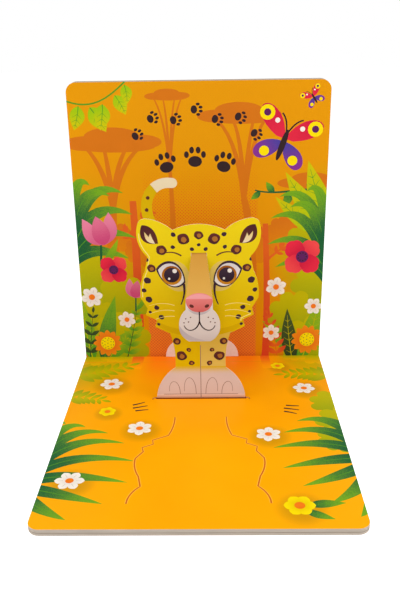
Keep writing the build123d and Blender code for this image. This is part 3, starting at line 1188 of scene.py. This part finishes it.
def cat_face(printed):
    """Ears, eyes and whiskers, each with its mirror image."""
    ear = curve((26.5, 114), (38.5, 112), (39.5, 121), (36.8, 126.5), count=12)
    ear += curve((36.8, 126.5), (33, 127), (27, 124), (26.5, 114), count=10)[1:-1]
    printed.add_pair(ear, "spot", ((30, 112), (37, 128)))
    hair = curve((28.5, 114), (34, 114), (35.5, 118), (35.2, 122), count=8)
    hair += [(32.5, 118.5), (31.5, 121), (30.2, 117.5)]
    printed.add_pair(hair, "cream", ((30, 112), (36, 124)))

    around = curve((6, 90), (7, 107), (27, 109), (31, 96), (28, 79), (12, 76), (6, 84), count=24)
    printed.add_pair(around, "cream_fur")
    inner, outer = (9.2, 87.0), (28.6, 96.4)
    arcs = (inner, (10, 103.5), (23, 106.0), outer), (outer, (24.4, 83), (14, 80), inner)
    printed.add_pair(closed_curve(*arcs, count=14), "pupil")
    inner, outer = (10.2, 87.8), (27.2, 95.8)
    arcs = (inner, (11, 101.2), (22, 103.8), outer), (outer, (24, 83.8), (14.6, 81.2), inner)
    printed.add_pair(closed_curve(*arcs, count=14), "eye", ((18, 84), (18, 104)))
    printed.add_pair(ellipse((18.2, 91.9), 6.7), "iris", ((18, 85), (18, 99)))
    printed.add_pair(ellipse((18.2, 92.1), 5.2), "pupil", ((18, 96), (18, 86)))
    for x in (-18.2, 18.2):
        printed.add(ellipse((x + 2.0, 95.0), 1.5, count=14), "eye")
        printed.add(ellipse((x - 1.8, 89.6), 0.8, count=10), "eye")
    tear_line = curve((10.4, 86.0), (9.0, 79), (12.6, 71), count=10)
    printed.add_pair(stroke(tear_line, 1.8, 0.7), "dark_spot")
    brow = curve((11.5, 105.5), (18, 110), (25, 106.5), count=8)
    printed.add_pair(stroke(brow, 1.1, 0.5), "spot")
    for index, rise in enumerate((71.5, 67.5, 63.5)):
        whisker = curve((17.0, rise - 1), (25, rise + 2 - index), (34, rise - 1 - 2 * index), count=10)
        printed.add_pair(stroke(whisker, 0.5, 0.2), "rim")


def snout_print(crease):
    """Print of the folded snout. crease is the height of the fold between the bridge and the nose."""
    printed = Print(PAGE_TOP)

    def add_nose(outline, colour, fade=NO_FADE):
        printed.add(raised(outline, crease), colour, raised(fade, crease))

    add_nose(oblong(-20, -0.5, 20, 60), "bridge", ((0, 0), (0, 28)))
    add_nose(oblong(-20, -0.5, 20, -60), "muzzle", ((0, -18), (0, -36)))
    high, low = (-15.5, 66), (4, 50.5)
    crescent = (high, (-15, 52), (-8, 49), low), (low, (-6, 52.5), (-11.0, 56), high)
    printed.add(closed_curve(*crescent, count=14), "muzzle_shade")
    under_nose = curve((-8, -6), (-4, -12.5), (4, -12.5), (8, -6), count=12)
    add_nose(under_nose, "muzzle_shade", ((0, -10), (0, -6)))
    foot, left, right = (0, -9), (-8.9, 0.2), (8.9, 0.2)
    nose = (
        (foot, (6.0, -8.8), (9.0, -5), right),
        (right, (5, 4.6), (-5, 4.6), left),
        (left, (-9.0, -5), (-6.0, -8.8), foot),
    )
    add_nose(closed_curve(*nose), "nose", ((0, 2), (0, -9)))
    add_nose(curve((-8.6, 0.3), (-4.6, 3.9), (4.6, 3.9), (8.6, 0.3), count=12), "nose_gleam")
    for side in (-1, 1):
        add_nose(ellipse((side * 5.0, -4.6), 1.6, 1.1, side * 28, 12), "spot")
        smile = curve((0, 65.0), (side * 1.5, 57.5), (side * 8.5, 56.0), (side * 10.2, 62.0), count=14)
        printed.add(stroke(smile, 0.95, 0.55), "mouth_line")
        for x, y in ((5.8, 68.0), (9.0, 67.0), (7.2, 64.6), (10.2, 64.0)):
            printed.add(ellipse((side * x, y), 0.5, count=8), "spot")
    printed.add(stroke([(0, crease - 8.5), (0, 64.8)], 0.9, 0.8), "mouth_line")
    return printed


# Pieces


def profile_of(points):
    """Heights along a folded card's front, from low to high, and the depth at each."""
    rows = {}
    for _, height, depth in points:
        rows.setdefault(round(height, 2), []).append(depth)
    heights = sorted(rows)
    return heights, [min(rows[height]) for height in heights]


def card_place(heights, depths):
    """How a place on a folded card is found from its side view."""

    def place(x, z, side):
        return (x, float(np.interp(z, heights, depths)) + side * CARD, z)

    return place


def lying_place(x, y, side):
    return (x, y, PAGE_TOP + SHEET * (1 - side))


def gutter_place(x, y, side):
    thickness = PAGE_TOP - span("gutter_sheet")[0].z
    return (x, y, PAGE_TOP + SHEET - side * (thickness + SHEET))


def standing_place(x, z, side):
    return (x, FOLD - SHEET * (1 - side), z)


def folded_strip(name, path, half_width, thickness, material):
    """Closed strip of card along a side-view path of (depth, height) points in millimetres."""
    line = [Vector(point) for point in path]
    rows = []
    for index, point in enumerate(line):
        before = (point - line[index - 1]).normalized() if index else None
        after = (line[index + 1] - point).normalized() if index + 1 < len(line) else None
        way = ((before or after) + (after or before)).normalized()
        mitre = 1 / max(0.5, way.dot(after or before))
        out = Vector((-way.y, way.x)) * thickness / 2 * mitre
        rows.append((point + out, point - out))
    points = [(x, *spot) for x in (-half_width, half_width) for row in rows for spot in row]
    count = 2 * len(rows)
    last = count - 2
    polygons = [[0, 1, count + 1, count], [last, last + count, last + count + 1, last + 1]]
    for a in range(0, last, 2):
        b = a + count
        polygons += [[a, a + 2, a + 3, a + 1], [b, b + 1, b + 3, b + 2]]
        polygons += [[a, b, b + 2, a + 2], [a + 1, a + 3, b + 3, b + 1]]
    return outward(mesh_object(name, points, polygons, [material]))


def outward(piece):
    """Turns every face of a closed piece outward."""
    mesh = bmesh.new()
    mesh.from_mesh(piece.data)
    bmesh.ops.recalc_face_normals(mesh, faces=mesh.faces)
    mesh.to_mesh(piece.data)
    mesh.free()
    return piece


def fold_flat(piece):
    """Gives the card a mesh of its own."""
    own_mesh(piece)


def dress_boards():
    """Gives the solids that stay as they are their board, card and print."""
    seam = span("front_cover")[1].z
    materials = {
        "front_cover": board_material("front_cover_board", COVER, 2, seam),
        # the lower page's top face shows only in the slit and its hooks, and is painted in shade
        "lower_page": board_material("lower_page_board", CUT_SHADE, 2, seam),
        "page_block": board_material("page_board", LEAF_BOARD, 2),
        "back_cover": board_material("back_cover_board", COVER, 1),
        "spine_strip": plain_card("spine_cloth"),
        "strap_flap": standing_ground(),
        "hind_paw_left": plain_card("paw_card"),
        "hind_paw_right": plain_card("paw_card"),
    }
    for node, material in materials.items():
        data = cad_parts[node].data
        data.materials.clear()
        data.materials.append(material)


def build_pages(card):
    """Printed sheets of the lying page, of the fold and of the standing page."""
    outline, *holes = [flat_loop(loop) for loop in facing_loops("lower_page", 2, 1, PAGE_TOP)]
    printed = lying_print(card, holes)
    page_print = cut_sheet("page_print", outline, holes, printed, lying_ground(), lying_place)
    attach(page_print, "front_half")

    sheet_end = max(y for _, y in outline)
    steps = [index / BEND_STEPS for index in range(1, BEND_STEPS)]
    depths = [sheet_end + (FOLD - sheet_end) * step for step in steps]
    bends = [((-HALF_WIDTH - 1, y), (HALF_WIDTH + 1, y)) for y in depths]
    outline = oblong(-HALF_WIDTH, sheet_end, HALF_WIDTH, FOLD)
    gutter = cut_sheet("gutter", outline, [], printed, lying_ground(), gutter_place, bends)
    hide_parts("gutter_sheet")
    start, end = (0, BOARD_END * MM, PAGE_TOP * MM), (0, FOLD * MM, PAGE_TOP * MM)
    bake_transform(gutter)
    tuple(start)
    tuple(end)

    outline = flat_loop(facing_loops("page_block", 1, -1, FOLD)[0])
    outline = [(x, max(z, PAGE_TOP + SHEET)) for x, z in outline]
    printed = standing_print()
    stand_print = cut_sheet("standing_print", outline, [], printed, standing_ground(), standing_place)
    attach(stand_print, "rear_half")


def build_cat(loops, outline, card):
    """The standing card, from the loops of its front."""
    slots = [flat_loop(loop) for loop in loops[1:]]
    place = card_place(*profile_of([point for loop in loops for point in loop]))
    folds = [((-90, PAGE_TOP + height), (90, PAGE_TOP + height)) for height in CREASES]
    cat = cut_sheet("cat", outline, slots, figure_print(card), ink("fur"), place, folds)
    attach(cat, "front_half")
    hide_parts("figure")
    fold_flat(cat)


def build_snout():
    """The folded card of the bridge, nose and muzzle, and the strap from its chin to the figure."""
    outline, *others = facing_loops("snout", 1, -1)
    heights, depths = profile_of(outline)
    crease = max(z for z, depth in zip(heights, depths) if depth < min(depths) + 1)
    bends = [((-40, z), (40, z)) for z in heights]
    printed = snout_print(crease - PAGE_TOP)
    place = card_place(heights, depths)
    snout = cut_sheet("snout_card", flat_loop(outline), [], printed, ink("muzzle"), place, bends)
    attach(snout, "front_half")
    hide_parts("snout")
    fold_flat(snout)

    low = min(z for _, z, _ in outline)
    half_width = max(x for x, z, _ in outline if z < low + 0.1)
    tab = next(loop for loop in others if min(z for _, z, _ in loop) > low)
    tab_heights = [z for _, z, _ in tab]
    back = span("snout")[1].y - CARD / 2
    path = [(depths[0] + CARD, low + CARD), (back, min(tab_heights)), (back, max(tab_heights))]
    chin = folded_strip("chin_strap", path, half_width, CARD, plain_card("card_back"))
    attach(chin, "front_half")
    fold_flat(chin)


def build_strap():
    """The strap from the figure's back to the standing page."""
    low, high = span("back_strap")
    front, level = low.y + CARD / 2, high.z - CARD / 2
    corner = [(front, level - STRAP_CORNER), (front + STRAP_CORNER, level)]
    path = [(front, low.z), *corner, (high.y, level)]
    strap = folded_strip("strap", path, high.x, CARD, plain_card("card_back"))
    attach(strap, "front_half")
    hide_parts("back_strap")
    fold_flat(strap)


def build_spine():
    """The outer strip, which bends at the hinge."""
    strip_low, strip_high = span("hinge_strip")
    thickness = strip_high.z - strip_low.z
    bend_start = strip_high.y - BEND
    depths = [strip_low.y] + [bend_start + BEND * index / BEND_STEPS for index in range(BEND_STEPS + 1)]
    path = [(depth, strip_low.z + thickness / 2) for depth in depths]
    strip = folded_strip("spine_hinge", path, HALF_WIDTH, thickness, plain_card("spine_cloth"))
    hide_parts("hinge_strip")
    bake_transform(strip)


def build_book():
    """Every piece of the book. card is the figure's outline with its heights above the page."""
    dress_boards()
    loops = facing_loops("figure", 1, -1)
    outline = flat_loop(loops[0])
    card = raised(outline, -PAGE_TOP)
    build_pages(card)
    build_cat(loops, outline, card)
    build_snout()
    build_strap()
    build_spine()


def make_camera():
    data = bpy.data.cameras.new("camera")
    data.sensor_fit = "VERTICAL"
    data.sensor_height = SENSOR
    data.lens = FOCAL_PIXELS * SENSOR / IMAGE_HEIGHT
    data.clip_start = 0.01
    camera = bpy.data.objects.new("camera", data)
    camera.location = (CAMERA_FROM_FOLD + Vector((0, FOLD, PAGE_TOP))) * MM
    camera.rotation_euler = Euler([math.radians(angle) for angle in CAMERA_TURN], "XYZ")
    bpy.context.scene.collection.objects.link(camera)
    bpy.context.scene.camera = camera


def make_light(name, place, target, size, watts):
    data = bpy.data.lights.new(name, "AREA")
    data.shape = "RECTANGLE"
    data.size, data.size_y = size
    data.energy = watts
    light = bpy.data.objects.new(name, data)
    light.location = place
    light.rotation_euler = (Vector(target) - Vector(place)).to_track_quat("-Z", "Y").to_euler()
    bpy.context.scene.collection.objects.link(light)


def make_floor():
    """Pale floor a little under the book. The camera sees it lit up to white, apart from shadows."""
    material, start = new_material("floor")
    seen = start.node("ShaderNodeLightPath", output="Is Camera Ray")
    matt = start.node("ShaderNodeBsdfDiffuse", {"Color": FLOOR_TONE})
    glow = start.node("ShaderNodeEmission", {"Color": WHITE, "Strength": FLOOR_GLOW})
    lit = start.node("ShaderNodeAddShader", {0: matt, 1: glow})
    shown = start.node("ShaderNodeMixShader", {0: seen, 1: matt, 2: lit})
    start.node("ShaderNodeOutputMaterial", {"Surface": shown})
    corners = [(x, y, 0) for x, y in oblong(-FLOOR_REACH, -FLOOR_REACH, FLOOR_REACH, FLOOR_REACH)]
    floor = mesh_object("floor", corners, [(0, 1, 2, 3)], [material])
    floor.location.z = -FLOOR_DROP * MM


def make_studio():
    """White surroundings with soft light from all round, five lamps and the floor."""
    scene = bpy.context.scene
    scene.view_settings.view_transform = "Standard"
    scene.world = bpy.data.worlds.new("studio")
    start = shader_start(scene.world)
    seen = start.node("ShaderNodeLightPath", output="Is Camera Ray")
    strength = seen * (1.0 - DAYLIGHT) + DAYLIGHT
    glow = start.node("ShaderNodeBackground", {"Color": WHITE, "Strength": strength})
    start.node("ShaderNodeOutputWorld", {"Surface": glow})
    for name, lamp in LAMPS.items():
        make_light(name, *lamp)
    make_floor()


make_camera()
build_book()
make_studio()
